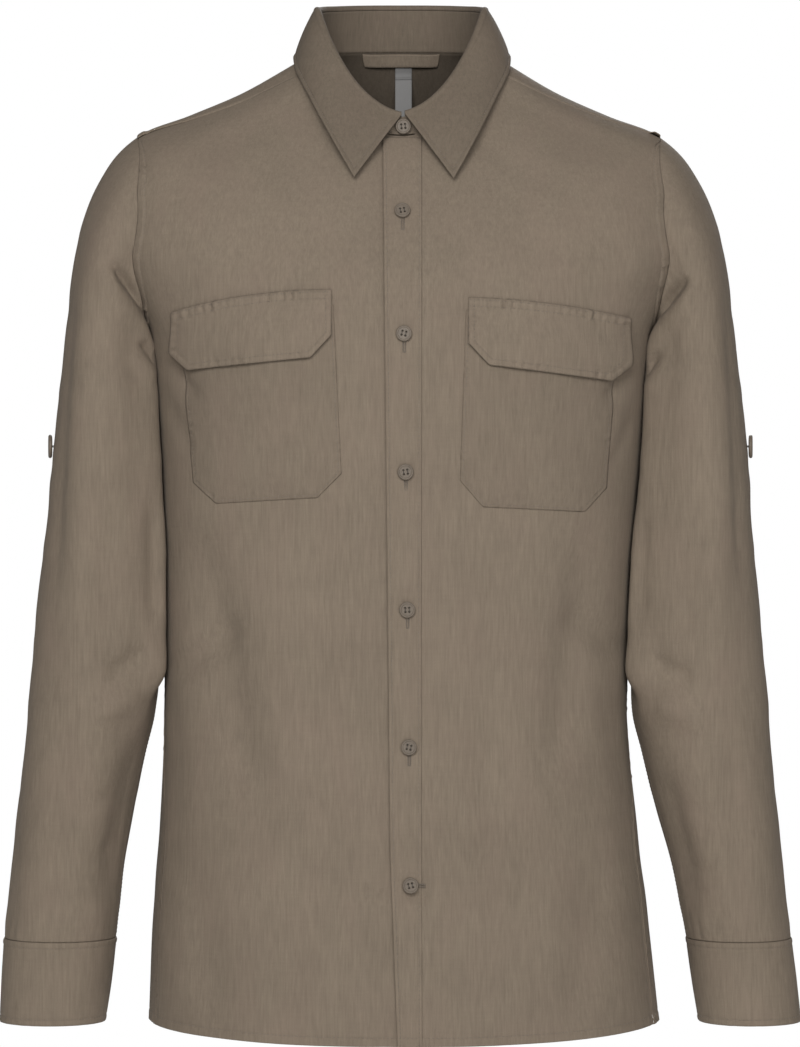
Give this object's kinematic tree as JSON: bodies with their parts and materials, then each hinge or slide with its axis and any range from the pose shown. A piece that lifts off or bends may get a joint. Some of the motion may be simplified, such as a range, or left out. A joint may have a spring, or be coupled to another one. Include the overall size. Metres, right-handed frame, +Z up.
{
  "type": "safari shirt",
  "caption": "Olive-brown cotton safari shirt in its worn shape, empty: pointed collar, button front, two flap chest pockets with cut corners, long sleeves with roll-up buttons.",
  "frame": {"origin": "middle of the neck, level with the shoulder seam beside the collar", "axes": "+X to the wearer's left, +Y to the wearer's back, +Z up, from hem to neck"},
  "size_m": [0.6112, 0.2454, 0.7964],
  "materials": {
    "cloth": "plain-woven cotton, matt with a faint slub",
    "button": "moulded plastic, satin, tone on tone",
    "label": "woven grey ribbon, bare"
  },
  "bodies": {
    "root": {"front_right": "cloth", "front_left": "cloth", "back": "cloth", "yoke": "cloth", "sleeve_right": "cloth", "sleeve_left": "cloth", "cuff_right": "cloth", "cuff_left": "cloth", "sleeve_placket_right": "cloth", "sleeve_placket_left": "cloth", "collar_stand": "cloth", "collar_leaf": "cloth", "placket": "cloth", "pocket_right": "cloth", "pocket_left": "cloth", "flap_right": "cloth", "flap_left": "cloth", "hanger_loop": "cloth", "button_collar": "button", "button_front_1": "button", "button_front_2": "button", "button_front_3": "button", "button_front_4": "button", "button_front_5": "button", "button_front_6": "button", "button_sleeve_right": "button", "button_sleeve_left": "button", "button_cuff_right": "button", "button_cuff_left": "button", "neck_label": "label", "size_label": "label"}
  },
  "joints": []
}
